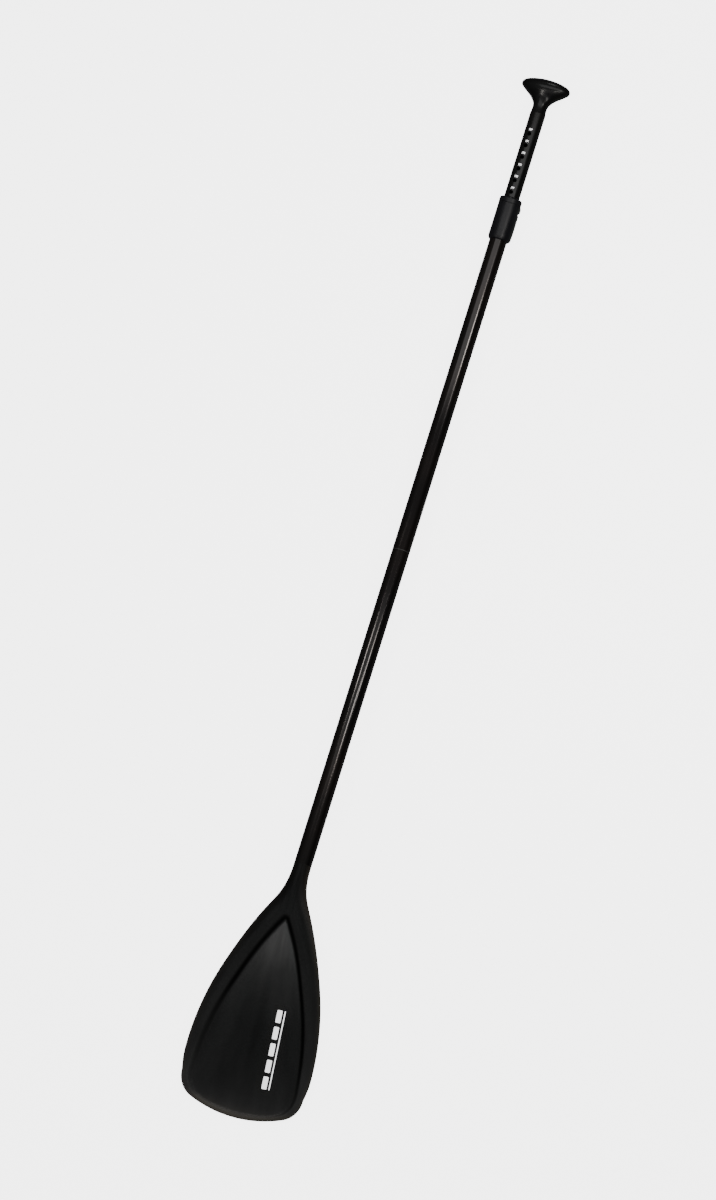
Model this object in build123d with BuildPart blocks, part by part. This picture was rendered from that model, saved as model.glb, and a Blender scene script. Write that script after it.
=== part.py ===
"""Adjustable single blade paddle: a blade section, a middle section with a clamp, and a handle section.

The shaft axis lies along X, with +X towards the grip. The blade's face looks up, along +Z, and its tip is
canted down. The origin is on the shaft axis, at the seam where the paddle comes apart. Millimetres.
"""
from build123d import *
import os
from math import cos, radians, sin

os.makedirs("parts", exist_ok=True)

# ---------------------------------------------------------------- driving dimensions
# Main tubes
SHAFT_RADIUS = 14.3
SHAFT_BORE = 13.1
SHAFT_WALL = SHAFT_RADIUS - SHAFT_BORE
LOWER_SHAFT_LENGTH = 530.0
MIDDLE_SHAFT_TOP = 552.0

# Handle tube, with its row of height holes
HANDLE_RADIUS = 12.7
HANDLE_BORE = 11.6
HANDLE_TOP = 747.0
HANDLE_BOTTOM = 255.0
HOLE_RADIUS = 3.25
HOLE_PITCH = 20.0
HOLE_COUNT = 19
FIRST_HOLE_X = 710.0

# Clearances
GLUE_GAP = 0.05
RUNNING_GAP = 0.05
FREE_GAP = 0.3
FLUSH_SINK = 0.15

# Take-apart joint
FERRULE_LOWER_END = -85.0
FERRULE_UPPER_END = 80.0
FERRULE_BORE = 10.2
FERRULE_LEAD_IN = 1.2
FERRULE_CUT_LENGTH = 2 * (SHAFT_BORE - FERRULE_BORE) + 6
SHOULDER_START = 0.1
SHOULDER_END = 1.4
SHOULDER_RADIUS = 14.1
BUTTON_X = -22.0
BUTTON_RADIUS = 4.0
BUTTON_TIP_Z = -14.1
BUTTON_ROUND = 1.6
SEAL_X = -7.0
SEAL_SECTION_RADIUS = 0.75
SEAL_RING_RADIUS = 12.3
SEAL_SIDE_GAP = 0.2
BUTTON_SIDE_GAP = 0.35
BUTTON_FLANGE_Z = -8.7
BUTTON_FLANGE_RADIUS = 4.8
BUTTON_FLANGE_THICKNESS = 0.8
SPRING_WIDTH = 7.0
SPRING_THICKNESS = 0.8
SPRING_BEND_RADIUS = 2.5
SPRING_OPEN_X = -16.0
SPRING_STRAIGHT_X = -30.0
SPRING_FOLD_X = -66.0
SPRING_FOLD_LOW_Z = -4.0
SPRING_FOLD_HIGH_Z = 6.0
RIVET_XS = (20.0, 60.0)
RIVET_SHANK_RADIUS = 1.6
RIVET_HEAD_RADIUS = 2.6
RIVET_TAIL_RADIUS = 2.3
RIVET_TAIL_END = 7.6
LOWER_BUNG_X = -135.0
LOWER_BUNG_LENGTH = 30.0
MIDDLE_BUNG_X = FERRULE_UPPER_END + 2.0
MIDDLE_BUNG_LENGTH = 20.0
BUNG_CHAMFER = 1.0

# Clamp
COLLAR_BOTTOM = 530.0
COLLAR_TOP = 602.0
COLLAR_RADIUS = 18.2
LIP_RADIUS = 18.5
CLAMP_BORE = 13.4
BUSH_BOTTOM = 580.0
BUSH_TOP = 601.5
BUSH_RADIUS = 14.0
PIVOT_X = 590.0
PIVOT_Z = -22.5
PIVOT_RADIUS = 2.0
LEVER_TIP_X = 533.0
LEVER_PLATE_END_X = 581.5
LEVER_HALF_WIDTH = 12.5
LEVER_INNER_Z = -18.9
BARREL_RADIUS = 4.5
BARREL_HALF_WIDTH = 7.7
EAR_INNER_Y = 8.1
EAR_OUTER_Y = 12.6
EAR_RADIUS = 5.6
LOCK_PIN_X = 570.0
LOCK_PIN_RADIUS = 2.5
LOCK_PIN_TIP_Z = -10.2
PAD_LOW_X = 556.5
PAD_HIGH_X = 564.5
PAD_HALF_WIDTH = 5.5
PAD_BACK_Z = -19.9
PAD_POCKET_HEIGHT = 10.0
WINDOW_LOW_X = 553.5
WINDOW_HIGH_X = 575.5
WINDOW_HALF_WIDTH = 6.5
COLLAR_SCREW_X = 547.5
COLLAR_SCREW_RADIUS = 1.5
COLLAR_SCREW_TILT = 40.0

LEVER_TIP_Z = -21.0
LEVER_TIP_DEPTH = 2.4
LEVER_TIP_BEVEL = 7.0
LEVER_OUTER_Z = -27.8
LEVER_CROWN = 0.5
LEVER_CROWN_X = 563.0
LEVER_SHOULDER_X = 543.0
LEVER_SHOULDER_DROP = 1.2
LEVER_CORNER_ROUND = 6.0
LEVER_RIM_ROUND = 1.8
LEVER_WEB_HALF = 3.6
LEVER_WEB_OVERLAP = 3.0
LEVER_WEB_DROP = 1.5
EAR_ROOT_Z = 14.0
PIVOT_HEAD_RADIUS = 3.2
PIVOT_HEAD_Y = 11.0
NUT_REACH = 6.0
NUT_BORE_DEPTH = 12.0
NUT_BORE_SPARE = 2.0
THREAD_RADIUS = 1.25
PIVOT_SOCKET_RADIUS = 1.4
PIN_HEAD_RADIUS = 3.7
PIN_HEAD_DEPTH = 2.2
PIN_HEAD_Z = LEVER_OUTER_Z + PIN_HEAD_DEPTH - 0.1
PIN_HEAD_SINK = 0.5
PIN_NOSE_RADIUS = 1.3
PIN_NOSE_LENGTH = 2.2
COLLAR_TAPER_END = 543.0
COLLAR_MOUTH_RADIUS = 15.5
LIP_BOTTOM = 592.0
LIP_ROUND = 3.4
LIP_GROOVE_DEPTH = 0.4
LIP_GROOVE_WIDTH = 0.8
FRONT_PANEL_LOW_X = 545.0
FRONT_PANEL_HIGH_X = 586.0
FRONT_PANEL_HALF_WIDTH = 12.5
FRONT_PANEL_RISE = 0.5
FRONT_PANEL_CORNER = 5.0
SCREW_HEAD_RADIUS = 2.8
SCREW_HEAD_DEPTH = 1.7
SCREW_HEAD_SINK = 0.2
SCREW_HOLE_LENGTH = 12.0
SCREW_TIP_RADIUS = 13.15
SCREW_SOCKET_RADIUS = 1.2
SOCKET_DEPTH = 1.0
BUSH_LEAD_IN = 0.6

# Handle end plug
PLUG_FLANGE_LENGTH = 8.0
PLUG_STEM_LENGTH = 18.0
PLUG_GAP = 0.08
PLUG_WALL = 3.0
PLUG_CHAMFER = 1.0

# Grip
GRIP_TOP = 805.5
GRIP_STEM_RADIUS = 11.5
GRIP_STEM_BOTTOM = 717.0
GRIP_PIN_X = 732.0
GRIP_PIN_RADIUS = 1.6
GRIP_PIN_LENGTH = 8.0

# Distance along the shaft, half width and half depth of the oval sections of the grip's neck and flare
GRIP_SECTIONS = (
    (HANDLE_TOP, 12.4, 12.4),
    (755.0, 11.9, 11.8),
    (763.5, 13.6, 12.2),
    (773.0, 21.0, 14.2),
    (782.0, 32.2, 17.6),
    (791.5, 40.4, 20.3),
)
GRIP_DOME_STEPS = 6
GRIP_DOME_LAST_ANGLE = 80.0

# Blade, measured by its station: the distance from the neck line towards the tip
NECK_X = -LOWER_SHAFT_LENGTH
BLADE_LENGTH = 412.0
CANT_SLOPE = 0.15
CANT_START = 10.0
CANT_END = 110.0
STEM_RADIUS = 13.05
STEM_BORE = 10.0
STEM_LENGTH = 50.0
STEM_FLOOR = 5.0
TIP_ARC_RADIUS = 210.0
CORNER_RADIUS = 40.0
CORNER_HALF_SPREAD = 64.0
TIP_SIDE_START = 276.0
TIP_SIDE_WIDTHS = ((TIP_SIDE_START, 109.5), (319.0, 108.1), (340.0, 107.0))
OUTSIDE = 140.0

# Station, half width and half thickness of the blade's oval sections
BLADE_SECTIONS = (
    (0.0, 14.3, 14.3),
    (12.0, 14.6, 14.0),
    (30.0, 16.9, 12.6),
    (50.0, 22.9, 10.9),
    (74.0, 35.5, 9.2),
    (112.3, 54.9, 7.6),
    (164.5, 76.7, 6.5),
    (215.7, 93.6, 5.8),
    (267.0, 104.0, 5.2),
    (319.0, 108.5, 4.6),
    (366.0, 110.0, 3.6),
    (420.0, 110.0, 2.6),
)

# Station, half width, half height and drop below the centreline of the spine on the blade's back
SPINE_SECTIONS = (
    (20.0, 11.0, 11.0, 1.0),
    (80.0, 12.5, 8.5, 4.0),
    (150.0, 10.5, 5.5, 4.2),
    (230.0, 7.5, 3.6, 3.8),
    (300.0, 4.0, 1.8, 3.6),
)

# Station and half width of the recessed panel's floor
PANEL_EDGE = ((139.0, 29.0), (190.0, 50.0), (241.5, 66.5), (305.0, 79.5))
PANEL_APEX = 95.5
PANEL_SIDE_END = (353.0, 82.0)
PANEL_CORNER = (385.0, 70.0)
PANEL_TIP = 401.0
PANEL_APEX_RISE = 2.4
PANEL_TIP_RISE = 0.3
PANEL_WALL_RUN = 2.0
PANEL_CUT_HEIGHT = 12.0


def centre_height(station):
    """Height of the blade's middle surface: level at the neck, then bending down to a straight cant."""
    if station < CANT_START:
        return 0.0
    bend = CANT_END - CANT_START
    if station < CANT_END:
        return -CANT_SLOPE * (station - CANT_START) ** 2 / (2 * bend)
    return -CANT_SLOPE * (station - CANT_START - bend / 2)


def across(station, height):
    """The plane square to the shaft axis at a blade station, centred at the given height."""
    return Plane((NECK_X - station, 0, height), x_dir=(0, 1, 0), z_dir=(-1, 0, 0))


# ---------------------------------------------------------------- blade
# The corner arcs sit inside the shallow arc of the tip and touch it.
arc_gap = TIP_ARC_RADIUS - CORNER_RADIUS
tip_arc_centre = BLADE_LENGTH - TIP_ARC_RADIUS
corner_station = tip_arc_centre + (arc_gap**2 - CORNER_HALF_SPREAD**2) ** 0.5
reach = TIP_ARC_RADIUS / arc_gap
corner_end = (tip_arc_centre + reach * (corner_station - tip_arc_centre), reach * CORNER_HALF_SPREAD)
corner_start = (corner_station, CORNER_HALF_SPREAD + CORNER_RADIUS)
plan_plane = Plane((NECK_X, 0, -OUTSIDE), x_dir=(-1, 0, 0), z_dir=(0, 0, 1))

# The panel's floor falls a little faster than the blade's middle surface.
panel_run = PANEL_TIP - PANEL_APEX
panel_apex_z = centre_height(PANEL_APEX) + PANEL_APEX_RISE
panel_slope = (panel_apex_z - centre_height(PANEL_TIP) - PANEL_TIP_RISE) / panel_run
panel_floor_plane = Plane(
    (NECK_X, 0, panel_apex_z + panel_slope * PANEL_APEX),
    x_dir=(-1, 0, -panel_slope),
    z_dir=(-panel_slope, 0, 1),
)


def panel_outline(spread):
    """The edges of the recessed panel's outline, moved outwards by spread."""
    sides = [(station - 0.4 * spread, width + 0.9 * spread) for station, width in PANEL_EDGE]
    side_end = (PANEL_SIDE_END[0], PANEL_SIDE_END[1] + spread)
    corner = (PANEL_CORNER[0] + 0.7 * spread, PANEL_CORNER[1] + 0.7 * spread)
    with BuildLine() as outline:
        Spline((PANEL_APEX - 1.9 * spread, 0), *sides, side_end)
        Spline(side_end, corner, (PANEL_TIP + spread, 0), tangents=((1, -0.1), (0, -1)))
        mirror(about=Plane.XZ)
    return outline.edges()


with BuildPart() as blade:
    for station, half_width, half_thickness in BLADE_SECTIONS:
        with BuildSketch(across(station, centre_height(station))):
            Ellipse(half_width, half_thickness)
    loft()
    with BuildSketch(plan_plane):
        with BuildLine():
            Polyline((0, 0), (0, OUTSIDE), (TIP_SIDE_START, OUTSIDE), TIP_SIDE_WIDTHS[0])
            Spline(*TIP_SIDE_WIDTHS, corner_start, tangents=((1, -0.02), (1, 0)))
            RadiusArc(corner_start, corner_end, CORNER_RADIUS)
            RadiusArc(corner_end, (BLADE_LENGTH, 0), TIP_ARC_RADIUS)
            mirror(about=Plane.XZ)
        make_face()
    extrude(amount=2 * OUTSIDE, mode=Mode.INTERSECT)
    with BuildSketch(panel_floor_plane):
        make_face(panel_outline(0))
    with BuildSketch(panel_floor_plane.offset(PANEL_CUT_HEIGHT)):
        make_face(panel_outline(PANEL_WALL_RUN * PANEL_CUT_HEIGHT))
    loft(ruled=True, mode=Mode.SUBTRACT)
    for station, half_width, half_height, drop in SPINE_SECTIONS:
        with BuildSketch(across(station, centre_height(station) - drop)):
            Ellipse(half_width, half_height)
    loft()
    with BuildSketch(Plane.YZ.offset(NECK_X - 1)):
        Circle(STEM_RADIUS)
    extrude(amount=STEM_LENGTH + 1)
    with BuildSketch(Plane.YZ.offset(NECK_X + STEM_FLOOR)):
        Circle(STEM_BORE)
    extrude(amount=STEM_LENGTH, mode=Mode.SUBTRACT)
blade.part.label = "blade"
export_step(blade.part, "parts/blade.step")

# ---------------------------------------------------------------- lower shaft
with BuildPart() as lower_shaft:
    with BuildSketch(Plane.YZ.offset(NECK_X)):
        Circle(SHAFT_RADIUS)
        Circle(SHAFT_BORE, mode=Mode.SUBTRACT)
    extrude(amount=LOWER_SHAFT_LENGTH)
    with Locations((BUTTON_X, 0, -SHAFT_RADIUS)):
        Cylinder(BUTTON_RADIUS + BUTTON_SIDE_GAP, 4 * SHAFT_WALL, mode=Mode.SUBTRACT)
lower_shaft.part.label = "lower_shaft"
export_step(lower_shaft.part, "parts/lower_shaft.step")

with BuildPart() as lower_float_bung:
    with BuildSketch(Plane.YZ.offset(LOWER_BUNG_X)):
        Circle(SHAFT_BORE - GLUE_GAP)
    extrude(amount=LOWER_BUNG_LENGTH)
    chamfer(lower_float_bung.edges(), BUNG_CHAMFER)
lower_float_bung.part.label = "lower_float_bung"
export_step(lower_float_bung.part, "parts/lower_float_bung.step")

# ---------------------------------------------------------------- middle shaft
with BuildPart() as middle_shaft:
    with BuildSketch(Plane.YZ.offset(SHOULDER_END)):
        Circle(SHAFT_RADIUS)
        Circle(SHAFT_BORE, mode=Mode.SUBTRACT)
    extrude(amount=MIDDLE_SHAFT_TOP - SHOULDER_END)
    with Locations(*[(rivet_x, 0, -SHAFT_RADIUS) for rivet_x in RIVET_XS]):
        Cylinder(RIVET_HEAD_RADIUS + GLUE_GAP, 4 * SHAFT_WALL, mode=Mode.SUBTRACT)
    for tilt in (-COLLAR_SCREW_TILT, COLLAR_SCREW_TILT):
        with Locations(Location((COLLAR_SCREW_X, 0, 0), (tilt, 0, 0))):
            with Locations((0, 0, -SHAFT_RADIUS)):
                Cylinder(COLLAR_SCREW_RADIUS + GLUE_GAP, 4 * SHAFT_WALL, mode=Mode.SUBTRACT)
middle_shaft.part.label = "middle_shaft"
export_step(middle_shaft.part, "parts/middle_shaft.step")

with BuildPart() as middle_float_bung:
    with BuildSketch(Plane.YZ.offset(MIDDLE_BUNG_X)):
        Circle(SHAFT_BORE - GLUE_GAP)
    extrude(amount=MIDDLE_BUNG_LENGTH)
    chamfer(middle_float_bung.edges(), BUNG_CHAMFER)
middle_float_bung.part.label = "middle_float_bung"
export_step(middle_float_bung.part, "parts/middle_float_bung.step")

# ---------------------------------------------------------------- take-apart joint
with BuildPart() as joint_ferrule:
    with BuildSketch(Plane.YZ.offset(FERRULE_LOWER_END)):
        Circle(SHAFT_BORE - GLUE_GAP)
    extrude(amount=FERRULE_UPPER_END - FERRULE_LOWER_END)
    with BuildSketch(Plane.YZ.offset(SHOULDER_START)):
        Circle(SHOULDER_RADIUS)
    extrude(amount=SHOULDER_END - SHOULDER_START)
    with BuildSketch(Plane.YZ.offset(FERRULE_LOWER_END)):
        Circle(FERRULE_BORE)
    extrude(amount=FERRULE_UPPER_END - FERRULE_LOWER_END, mode=Mode.SUBTRACT)
    lower_rims = joint_ferrule.edges().filter_by(GeomType.CIRCLE).group_by(Axis.X)[0]
    chamfer(lower_rims.sort_by(SortBy.RADIUS)[-1], FERRULE_LEAD_IN)
    with BuildSketch(Plane.YZ.offset(SEAL_X - SEAL_SECTION_RADIUS - SEAL_SIDE_GAP)):
        Circle(SHAFT_RADIUS)
        Circle(SEAL_RING_RADIUS - SEAL_SECTION_RADIUS - GLUE_GAP, mode=Mode.SUBTRACT)
    extrude(amount=2 * (SEAL_SECTION_RADIUS + SEAL_SIDE_GAP), mode=Mode.SUBTRACT)
    with Locations((BUTTON_X, 0, -SHAFT_BORE)):
        Cylinder(BUTTON_RADIUS + RUNNING_GAP, FERRULE_CUT_LENGTH, mode=Mode.SUBTRACT)
    with Locations(*[(rivet_x, 0, -SHAFT_BORE) for rivet_x in RIVET_XS]):
        Cylinder(RIVET_SHANK_RADIUS + GLUE_GAP, FERRULE_CUT_LENGTH, mode=Mode.SUBTRACT)
joint_ferrule.part.label = "joint_ferrule"
export_step(joint_ferrule.part, "parts/joint_ferrule.step")

with BuildPart() as seal_ring:
    with BuildSketch(Plane.XZ):
        with Locations((SEAL_X, SEAL_RING_RADIUS)):
            Circle(SEAL_SECTION_RADIUS)
    revolve(axis=Axis.X)
seal_ring.part.label = "seal_ring"
export_step(seal_ring.part, "parts/seal_ring.step")

# Each rivet has a flush flat head in the tube's wall, a shank through the ferrule and a swollen tail inside.
with BuildPart() as ferrule_rivets:
    for rivet_x in RIVET_XS:
        with BuildSketch(Plane((rivet_x, 0, 0), x_dir=(1, 0, 0), z_dir=(0, -1, 0))):
            with BuildLine():
                Polyline(
                    (0, -SHAFT_RADIUS + FLUSH_SINK),
                    (0, -RIVET_TAIL_END),
                    (RIVET_TAIL_RADIUS, -RIVET_TAIL_END),
                    (RIVET_TAIL_RADIUS, -FERRULE_BORE + FREE_GAP),
                    (RIVET_SHANK_RADIUS, -FERRULE_BORE + FREE_GAP),
                    (RIVET_SHANK_RADIUS, -SHAFT_BORE),
                    (RIVET_HEAD_RADIUS, -SHAFT_BORE),
                    (RIVET_HEAD_RADIUS, -SHAFT_RADIUS + FLUSH_SINK),
                    close=True,
                )
            make_face()
        revolve(axis=Axis((rivet_x, 0, 0), (0, 0, 1)))
ferrule_rivets.part.label = "ferrule_rivets"
export_step(ferrule_rivets.part, "parts/ferrule_rivets.step")

with BuildPart() as snap_button:
    with BuildSketch(Plane.XY.offset(BUTTON_TIP_Z)):
        with Locations((BUTTON_X, 0)):
            Circle(BUTTON_RADIUS)
    extrude(amount=BUTTON_FLANGE_Z - BUTTON_TIP_Z)
    fillet(snap_button.edges().group_by(Axis.Z)[0], BUTTON_ROUND)
    with BuildSketch(Plane.XY.offset(BUTTON_FLANGE_Z)):
        with Locations((BUTTON_X, 0)):
            Circle(BUTTON_FLANGE_RADIUS)
    extrude(amount=BUTTON_FLANGE_THICKNESS)
snap_button.part.label = "snap_button"
export_step(snap_button.part, "parts/snap_button.step")

# The spring is one folded strip: one leaf carries the button, the other bears on the far wall.
leaf_z = BUTTON_FLANGE_Z + BUTTON_FLANGE_THICKNESS + GLUE_GAP + SPRING_THICKNESS / 2
with BuildPart() as snap_spring:
    with BuildLine():
        FilletPolyline(
            (SPRING_OPEN_X, 0, leaf_z),
            (SPRING_STRAIGHT_X, 0, leaf_z),
            (SPRING_FOLD_X, 0, SPRING_FOLD_LOW_Z),
            (SPRING_FOLD_X, 0, SPRING_FOLD_HIGH_Z),
            (SPRING_OPEN_X, 0, -leaf_z + SPRING_THICKNESS),
            radius=SPRING_BEND_RADIUS,
        )
    with BuildSketch(Plane((SPRING_OPEN_X, 0, leaf_z), x_dir=(0, 1, 0), z_dir=(-1, 0, 0))):
        Rectangle(SPRING_WIDTH, SPRING_THICKNESS)
    sweep()
snap_spring.part.label = "snap_spring"
export_step(snap_spring.part, "parts/snap_spring.step")

# ---------------------------------------------------------------- clamp collar
pivot_plane = Plane((PIVOT_X, 0, PIVOT_Z), x_dir=(1, 0, 0), z_dir=(0, -1, 0))
front_panel_length = FRONT_PANEL_HIGH_X - FRONT_PANEL_LOW_X

# The collar has a thin raised panel on its front, curved with the sleeve.
with BuildPart() as front_panel:
    with BuildSketch(Plane.YZ.offset(FRONT_PANEL_LOW_X)):
        Circle(COLLAR_RADIUS + FRONT_PANEL_RISE)
        Circle(SHAFT_RADIUS + FREE_GAP, mode=Mode.SUBTRACT)
    extrude(amount=front_panel_length)
    with BuildSketch(Plane.XY):
        with Locations((FRONT_PANEL_LOW_X + front_panel_length / 2, 0)):
            RectangleRounded(front_panel_length, 2 * FRONT_PANEL_HALF_WIDTH, FRONT_PANEL_CORNER)
    extrude(amount=2 * COLLAR_RADIUS, mode=Mode.INTERSECT)

with BuildPart() as clamp_collar:
    with BuildSketch(Plane.XZ):
        with BuildLine():
            Polyline(
                (COLLAR_TAPER_END, COLLAR_RADIUS),
                (LIP_BOTTOM - LIP_GROOVE_WIDTH - LIP_GROOVE_DEPTH, COLLAR_RADIUS),
                (LIP_BOTTOM - LIP_GROOVE_WIDTH, COLLAR_RADIUS - LIP_GROOVE_DEPTH),
                (LIP_BOTTOM, COLLAR_RADIUS - LIP_GROOVE_DEPTH),
                (LIP_BOTTOM + LIP_GROOVE_DEPTH, LIP_RADIUS),
                (COLLAR_TOP - LIP_ROUND, LIP_RADIUS),
            )
            TangentArc(
                (COLLAR_TOP - LIP_ROUND, LIP_RADIUS), (COLLAR_TOP, LIP_RADIUS - LIP_ROUND), tangent=(1, 0)
            )
            Polyline(
                (COLLAR_TOP, LIP_RADIUS - LIP_ROUND),
                (COLLAR_TOP, BUSH_RADIUS + GLUE_GAP),
                (BUSH_BOTTOM, BUSH_RADIUS + GLUE_GAP),
                (BUSH_BOTTOM, CLAMP_BORE),
                (MIDDLE_SHAFT_TOP, CLAMP_BORE),
                (MIDDLE_SHAFT_TOP, SHAFT_RADIUS + GLUE_GAP),
                (COLLAR_BOTTOM, SHAFT_RADIUS + GLUE_GAP),
                (COLLAR_BOTTOM, COLLAR_MOUTH_RADIUS),
            )
            Spline(
                (COLLAR_BOTTOM, COLLAR_MOUTH_RADIUS),
                (COLLAR_TAPER_END, COLLAR_RADIUS),
                tangents=((0.6, 1), (1, 0)),
            )
        make_face()
    revolve(axis=Axis.X)
    add(front_panel.part)
    with BuildSketch(pivot_plane):
        Circle(BARREL_RADIUS + FREE_GAP)
    extrude(amount=EAR_INNER_Y, both=True, mode=Mode.SUBTRACT)
    for side in (-1, 1):
        with BuildSketch(Plane.XZ.offset(side * EAR_INNER_Y)):
            with Locations((PIVOT_X, PIVOT_Z)):
                Circle(EAR_RADIUS)
            with Locations((PIVOT_X, (PIVOT_Z - EAR_ROOT_Z) / 2)):
                Rectangle(2 * EAR_RADIUS, -PIVOT_Z - EAR_ROOT_Z)
        extrude(amount=side * (EAR_OUTER_Y - EAR_INNER_Y))
    with BuildSketch(pivot_plane):
        Circle(PIVOT_RADIUS + GLUE_GAP)
    extrude(amount=COLLAR_RADIUS, both=True, mode=Mode.SUBTRACT)
    for side in (-1, 1):
        with BuildSketch(pivot_plane.offset(side * PIVOT_HEAD_Y)):
            Circle(PIVOT_HEAD_RADIUS + GLUE_GAP)
        extrude(amount=side * PIVOT_HEAD_Y, mode=Mode.SUBTRACT)
    with Locations(((WINDOW_LOW_X + WINDOW_HIGH_X) / 2, 0, -COLLAR_RADIUS)):
        Box(WINDOW_HIGH_X - WINDOW_LOW_X, 2 * WINDOW_HALF_WIDTH, COLLAR_RADIUS, mode=Mode.SUBTRACT)
    for tilt in (-COLLAR_SCREW_TILT, COLLAR_SCREW_TILT):
        with Locations(Location((COLLAR_SCREW_X, 0, 0), (tilt, 0, 0))):
            with Locations((0, 0, -COLLAR_RADIUS)):
                Cylinder(COLLAR_SCREW_RADIUS + GLUE_GAP, SCREW_HOLE_LENGTH, mode=Mode.SUBTRACT)
                Cylinder(SCREW_HEAD_RADIUS + GLUE_GAP, 2 * SCREW_HEAD_DEPTH, mode=Mode.SUBTRACT)
clamp_collar.part.label = "clamp_collar"
export_step(clamp_collar.part, "parts/clamp_collar.step")

# Two short screws hold the collar to the middle shaft and stop flush with the tube's bore.
screw_top = COLLAR_RADIUS - SCREW_HEAD_SINK

with BuildPart() as collar_screws:
    for tilt in (-COLLAR_SCREW_TILT, COLLAR_SCREW_TILT):
        screw_plane = Plane.XY.rotated((tilt, 0, 0)).offset(-screw_top)
        with BuildSketch(screw_plane):
            with Locations((COLLAR_SCREW_X, 0)):
                Circle(SCREW_HEAD_RADIUS)
        extrude(amount=SCREW_HEAD_DEPTH - SCREW_HEAD_SINK - GLUE_GAP)
        with BuildSketch(screw_plane):
            with Locations((COLLAR_SCREW_X, 0)):
                Circle(COLLAR_SCREW_RADIUS)
        extrude(amount=screw_top - SCREW_TIP_RADIUS)
        with BuildSketch(screw_plane):
            with Locations((COLLAR_SCREW_X, 0)):
                RegularPolygon(SCREW_SOCKET_RADIUS, 6)
        extrude(amount=SOCKET_DEPTH, mode=Mode.SUBTRACT)
collar_screws.part.label = "collar_screws"
export_step(collar_screws.part, "parts/collar_screws.step")

with BuildPart() as guide_bush:
    with BuildSketch(Plane.YZ.offset(BUSH_BOTTOM + GLUE_GAP)):
        Circle(BUSH_RADIUS)
        Circle(HANDLE_RADIUS + RUNNING_GAP, mode=Mode.SUBTRACT)
    extrude(amount=BUSH_TOP - BUSH_BOTTOM)
    mouth = guide_bush.edges().group_by(Axis.X)[-1].sort_by(SortBy.RADIUS)[0]
    chamfer(mouth, BUSH_LEAD_IN)
guide_bush.part.label = "guide_bush"
export_step(guide_bush.part, "parts/guide_bush.step")

# ---------------------------------------------------------------- clamp lever
plate_end_low = (LEVER_PLATE_END_X, LEVER_OUTER_Z + LEVER_CROWN)
tip_low = (LEVER_TIP_X, LEVER_TIP_Z - LEVER_TIP_DEPTH)
web_start_x = LEVER_PLATE_END_X - LEVER_WEB_OVERLAP

with BuildPart() as clamp_lever:
    with BuildSketch(Plane.XZ):
        with BuildLine():
            Polyline(
                (LEVER_TIP_X, LEVER_TIP_Z),
                (LEVER_TIP_X + LEVER_TIP_BEVEL, LEVER_INNER_Z),
                (LEVER_PLATE_END_X, LEVER_INNER_Z),
                plate_end_low,
            )
            Spline(
                plate_end_low,
                (LEVER_CROWN_X, LEVER_OUTER_Z),
                (LEVER_SHOULDER_X, LEVER_OUTER_Z + LEVER_SHOULDER_DROP),
                tip_low,
            )
            Line(tip_low, (LEVER_TIP_X, LEVER_TIP_Z))
        make_face()
    extrude(amount=LEVER_HALF_WIDTH, both=True)
    fillet(clamp_lever.edges().filter_by(Axis.Z).group_by(Axis.X)[0], LEVER_CORNER_ROUND)
    outer_rim = clamp_lever.faces().sort_by(Axis.Z)[0].edges()
    fillet(outer_rim, LEVER_RIM_ROUND)
    with BuildSketch(Plane.XZ):
        with Locations((PIVOT_X, PIVOT_Z)):
            Circle(BARREL_RADIUS)
        with BuildLine():
            Polyline(
                (PIVOT_X, PIVOT_Z + LEVER_WEB_HALF),
                (PIVOT_X, PIVOT_Z - BARREL_RADIUS),
                (web_start_x, LEVER_OUTER_Z + LEVER_WEB_DROP),
                (web_start_x, LEVER_INNER_Z),
                (PIVOT_X, PIVOT_Z + LEVER_WEB_HALF),
            )
        make_face()
    extrude(amount=BARREL_HALF_WIDTH, both=True)
    with BuildSketch(pivot_plane):
        Circle(PIVOT_RADIUS + RUNNING_GAP)
    extrude(amount=LEVER_HALF_WIDTH, both=True, mode=Mode.SUBTRACT)
    with Locations((LOCK_PIN_X, 0, LEVER_OUTER_Z)):
        Cylinder(LOCK_PIN_RADIUS + GLUE_GAP, -LEVER_OUTER_Z, mode=Mode.SUBTRACT)
        Cylinder(PIN_HEAD_RADIUS + GLUE_GAP, 2 * PIN_HEAD_DEPTH, mode=Mode.SUBTRACT)
    with BuildSketch(Plane.XY.offset(PAD_BACK_Z)):
        with Locations(((PAD_LOW_X + PAD_HIGH_X) / 2, 0)):
            Rectangle(PAD_HIGH_X - PAD_LOW_X + 2 * GLUE_GAP, 2 * (PAD_HALF_WIDTH + GLUE_GAP))
    extrude(amount=PAD_POCKET_HEIGHT, mode=Mode.SUBTRACT)
clamp_lever.part.label = "clamp_lever"
export_step(clamp_lever.part, "parts/clamp_lever.step")

# The pin's nose is tapered, because it leaves the tube's hole along an arc.
with BuildPart() as locking_pin:
    with BuildSketch(Plane((LOCK_PIN_X, 0, 0), x_dir=(1, 0, 0), z_dir=(0, -1, 0))):
        with BuildLine():
            Polyline(
                (0, LOCK_PIN_TIP_Z),
                (PIN_NOSE_RADIUS, LOCK_PIN_TIP_Z),
                (LOCK_PIN_RADIUS, LOCK_PIN_TIP_Z - PIN_NOSE_LENGTH),
                (LOCK_PIN_RADIUS, PIN_HEAD_Z),
                (PIN_HEAD_RADIUS, PIN_HEAD_Z),
                (PIN_HEAD_RADIUS, LEVER_OUTER_Z + PIN_HEAD_SINK),
                (0, LEVER_OUTER_Z + PIN_HEAD_SINK),
                (0, LOCK_PIN_TIP_Z),
            )
        make_face()
    revolve(axis=Axis((LOCK_PIN_X, 0, 0), (0, 0, 1)))
locking_pin.part.label = "locking_pin"
export_step(locking_pin.part, "parts/locking_pin.step")

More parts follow.
